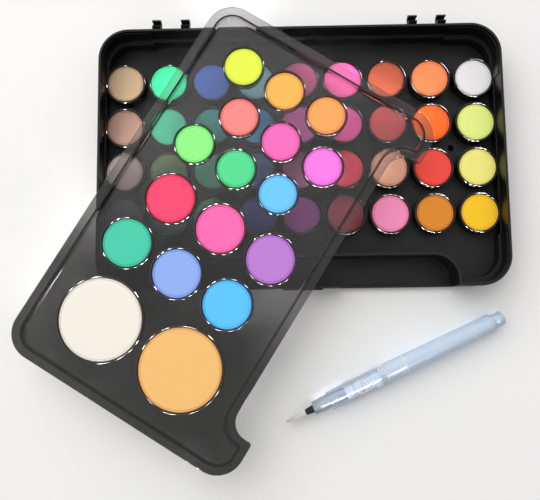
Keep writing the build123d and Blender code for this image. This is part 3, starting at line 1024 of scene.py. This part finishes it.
neck_places = [
    (thread_start - thread_step + step * thread_step, neck_radius) for step in range(53)
]
barrel_profile = (
    [Vector((45.25, 3.6)), Vector((45.25, 4.25)), Vector((45.4, 4.4))]
    + [Vector(place) for place in neck_places]
    + softened(
        [
            (57.8, 4.4, 0.0),
            (57.8, 5.0, 0.12),
            (65.5, 5.0, 0.0),
            (65.5, 6.2, 0.2),
            (66.4, 6.2, 0.0),
            (66.7, 6.12, 0.1),
            (78.0, 6.12, 0.0),
            (78.2, 6.2, 0.1),
            (78.9, 6.2, 0.15),
            (78.9, 6.05, 0.0),
            (107.0, 5.75, 0.0),
            (136.8, 5.45, 0.6),
            (136.8, 3.55, 0.0),
            (135.3, 3.55, 0.0),
            (135.3, 4.65, 0.0),
            (66.3, 5.25, 0.0),
            (66.3, 3.6, 0.0),
        ]
    )
)
squeeze_barrel = turned(
    "squeeze_barrel",
    "brush_barrel",
    barrel_profile,
    barrel_frosted,
    thread_swell,
    96,
)
filling_plug = turned(
    "filling_plug",
    "brush_end_plug",
    softened(
        [
            (130.8, 2.6, 0.0),
            (130.8, 3.5, 0.3),
            (136.8, 3.5, 0.0),
            (136.8, 4.3, 0.2),
            (138.0, 4.3, 0.0),
            (138.2, 4.18, 0.05),
            (138.6, 4.18, 0.05),
            (138.8, 4.3, 0.0),
            (143.8, 4.25, 1.0),
            (143.8, 0.0, 0.0),
            (142.0, 0.0, 0.0),
            (142.0, 2.6, 0.0),
        ]
    ),
    barrel_frosted,
)

# Brush hairs
# A round tuft of cream nylon filaments, tied at the root, swelling in the middle
# and drawn to a soft point.
hair_tree = bpy.data.node_groups.new("Tuft", "GeometryNodeTree")
hair_tree.interface.new_socket("Geometry", in_out="OUTPUT", socket_type="NodeSocketGeometry")
for socket_name, socket_kind in (
    ("Count", "NodeSocketInt"),
    ("Length", "NodeSocketFloat"),
    ("Root radius", "NodeSocketFloat"),
    ("Belly radius", "NodeSocketFloat"),
    ("Tip radius", "NodeSocketFloat"),
    ("Thickness", "NodeSocketFloat"),
    ("Hair", "NodeSocketMaterial"),
):
    hair_tree.interface.new_socket(socket_name, in_out="INPUT", socket_type=socket_kind)
given = hair_tree.nodes.new("NodeGroupInput").outputs
roots = hair_tree.nodes.new("GeometryNodePoints")
hair_tree.links.new(given["Count"], roots.inputs["Count"])
number = hair_tree.nodes.new("GeometryNodeInputIndex").outputs[0]
golden_turn = 2.399963
belly_place = 0.42
tip_sharpness = 2.4
stray_pull = -0.16
stray_bend = 0.35
taper = 0.8
outer_shorter = 0.16
stray_shorter = 0.06
half_number = calc(hair_tree, "ADD", number, 0.5)
root_share = calc(hair_tree, "SQRT", calc(hair_tree, "DIVIDE", half_number, given["Count"]))
root_angle = calc(hair_tree, "MULTIPLY", number, golden_turn)
stray = hair_tree.nodes.new("FunctionNodeRandomValue")
stray.data_type = "FLOAT"
stray.inputs["Seed"].default_value = 7
stray_value = next(s for s in stray.outputs if s.enabled)


def note(tree, geometry, name, value):
    """Keeps a value on the geometry under a name."""
    step = tree.nodes.new("GeometryNodeStoreNamedAttribute")
    step.inputs["Name"].default_value = name
    tree.links.new(geometry, step.inputs["Geometry"])
    tree.links.new(value, step.inputs["Value"])
    return step.outputs[0]


def noted_value(tree, name):
    """Reads a value kept under a name."""
    step = tree.nodes.new("GeometryNodeInputNamedAttribute")
    step.data_type = "FLOAT"
    step.inputs["Name"].default_value = name
    return step.outputs["Attribute"]


rooted = note(hair_tree, roots.outputs[0], "share", root_share)
rooted = note(hair_tree, rooted, "angle", root_angle)
rooted = note(hair_tree, rooted, "stray", stray_value)
strand = hair_tree.nodes.new("GeometryNodeMeshCylinder")
strand.fill_type = "NGON"
strand.inputs["Vertices"].default_value = 4
strand.inputs["Side Segments"].default_value = 9
strand.inputs["Radius"].default_value = 1.0
strand.inputs["Depth"].default_value = 1.0
planted = hair_tree.nodes.new("GeometryNodeInstanceOnPoints")
hair_tree.links.new(rooted, planted.inputs["Points"])
hair_tree.links.new(strand.outputs["Mesh"], planted.inputs["Instance"])
loose = hair_tree.nodes.new("GeometryNodeRealizeInstances")
hair_tree.links.new(planted.outputs[0], loose.inputs["Geometry"])
parts = hair_tree.nodes.new("ShaderNodeSeparateXYZ")
hair_tree.links.new(hair_tree.nodes.new("GeometryNodeInputPosition").outputs[0], parts.inputs[0])
along_hair = calc(hair_tree, "ADD", parts.outputs["Z"], 0.5)
share_here = noted_value(hair_tree, "share")
angle_here = noted_value(hair_tree, "angle")
stray_here = noted_value(hair_tree, "stray")
to_belly = calc(hair_tree, "DIVIDE", along_hair, belly_place, clamp=True)
past_belly = calc(
    hair_tree,
    "DIVIDE",
    calc(hair_tree, "SUBTRACT", along_hair, belly_place),
    1 - belly_place,
    clamp=True,
)
swelling = calc(hair_tree, "SINE", calc(hair_tree, "MULTIPLY", to_belly, math.pi / 2))
closing = calc(hair_tree, "POWER", past_belly, tip_sharpness)
belly_more = calc(hair_tree, "SUBTRACT", given["Belly radius"], given["Root radius"])
belly_less = calc(hair_tree, "SUBTRACT", given["Belly radius"], given["Tip radius"])
tuft_radius = calc(
    hair_tree,
    "SUBTRACT",
    calc(hair_tree, "MULTIPLY_ADD", swelling, belly_more, given["Root radius"]),
    calc(hair_tree, "MULTIPLY", closing, belly_less),
)
stray_along = calc(hair_tree, "MULTIPLY", stray_here, along_hair)
pulled_in = calc(hair_tree, "MULTIPLY_ADD", stray_along, stray_pull, 1.0)
away = calc(
    hair_tree, "MULTIPLY", tuft_radius, calc(hair_tree, "MULTIPLY", share_here, pulled_in)
)
bend = calc(hair_tree, "MULTIPLY", calc(hair_tree, "SUBTRACT", stray_here, 0.5), stray_bend)
angle = calc(hair_tree, "MULTIPLY_ADD", along_hair, bend, angle_here)
thinning = calc(hair_tree, "MULTIPLY", calc(hair_tree, "POWER", along_hair, 3.0), taper)
thinner = calc(hair_tree, "SUBTRACT", 1.0, thinning)
hair_width = calc(hair_tree, "MULTIPLY", given["Thickness"], thinner)
side_y = calc(hair_tree, "MULTIPLY", parts.outputs["X"], hair_width)
side_z = calc(hair_tree, "MULTIPLY", parts.outputs["Y"], hair_width)
shortened = calc(
    hair_tree,
    "SUBTRACT",
    1.0,
    calc(
        hair_tree,
        "ADD",
        calc(hair_tree, "MULTIPLY", calc(hair_tree, "POWER", share_here, 2.0), outer_shorter),
        calc(hair_tree, "MULTIPLY", stray_here, stray_shorter),
    ),
)
reach = calc(
    hair_tree, "MULTIPLY", calc(hair_tree, "MULTIPLY", along_hair, shortened), given["Length"]
)
bent = hair_tree.nodes.new("ShaderNodeCombineXYZ")
hair_tree.links.new(calc(hair_tree, "SUBTRACT", given["Length"], reach), bent.inputs["X"])
hair_tree.links.new(
    calc(hair_tree, "MULTIPLY_ADD", away, calc(hair_tree, "COSINE", angle), side_y),
    bent.inputs["Y"],
)
hair_tree.links.new(
    calc(hair_tree, "MULTIPLY_ADD", away, calc(hair_tree, "SINE", angle), side_z),
    bent.inputs["Z"],
)
kept = note(hair_tree, loose.outputs[0], "along", along_hair)
placed = hair_tree.nodes.new("GeometryNodeSetPosition")
hair_tree.links.new(kept, placed.inputs["Geometry"])
hair_tree.links.new(bent.outputs[0], placed.inputs["Position"])
sleek = hair_tree.nodes.new("GeometryNodeSetShadeSmooth")
hair_tree.links.new(placed.outputs[0], sleek.inputs["Geometry"])
joined = hair_tree.nodes.new("GeometryNodeRealizeInstances")
hair_tree.links.new(sleek.outputs[0], joined.inputs["Geometry"])
dressed = hair_tree.nodes.new("GeometryNodeSetMaterial")
hair_tree.links.new(joined.outputs[0], dressed.inputs["Geometry"])
hair_tree.links.new(given["Hair"], dressed.inputs["Material"])
hair_tree.links.new(
    dressed.outputs[0], hair_tree.nodes.new("NodeGroupOutput").inputs["Geometry"]
)

hair_cream, hair_shader = finish("hair", (0.74, 0.69, 0.62), 0.38)
hair_shades = hair_cream.node_tree
along_read = hair_shades.nodes.new("ShaderNodeAttribute")
along_read.attribute_name = "along"
stray_read = hair_shades.nodes.new("ShaderNodeAttribute")
stray_read.attribute_name = "stray"
root_to_tip = blended(
    hair_shades, along_read.outputs["Fac"], (0.88, 0.86, 0.83), (0.80, 0.74, 0.70)
)
hair_shades.links.new(
    blended(
        hair_shades,
        calc(hair_shades, "MULTIPLY", stray_read.outputs["Fac"], 0.5),
        root_to_tip,
        (0.93, 0.92, 0.90),
    ),
    hair_shader.inputs["Base Color"],
)
tuft = grown(
    "brush_tuft",
    hair_tree,
    {
        "Count": 620,
        "Length": 13.7 * mm,
        "Root radius": 1.25 * mm,
        "Belly radius": 1.9 * mm,
        "Tip radius": 0.7 * mm,
        "Thickness": 0.07 * mm,
        "Hair": hair_cream,
    },
)
tuft.data.transform(lay_brush)
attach(tuft, nodes["brush_hairs"]["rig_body"])
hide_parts("brush_hairs")

# Which pieces the small lamps light
# The lamps in front and behind glint on the tray and the lips, and the last lamp
# gives the brush its long soft highlight.
*lip_lamps, brush_lamp = glint_lamps
for collection_name, lit_pieces, lit_by in (
    ("glinting", (nodes["upper_tray"], cup_lips, well_lips), lip_lamps),
    ("gleaming", (squeeze_barrel, filling_plug, grip_tube, clear_nose), (brush_lamp,)),
):
    lit = bpy.data.collections.new(collection_name)
    for piece in lit_pieces:
        lit.objects.link(piece)
    for lamp in lit_by:
        lamp.light_linking.receiver_collection = lit

bpy.context.view_layer.update()
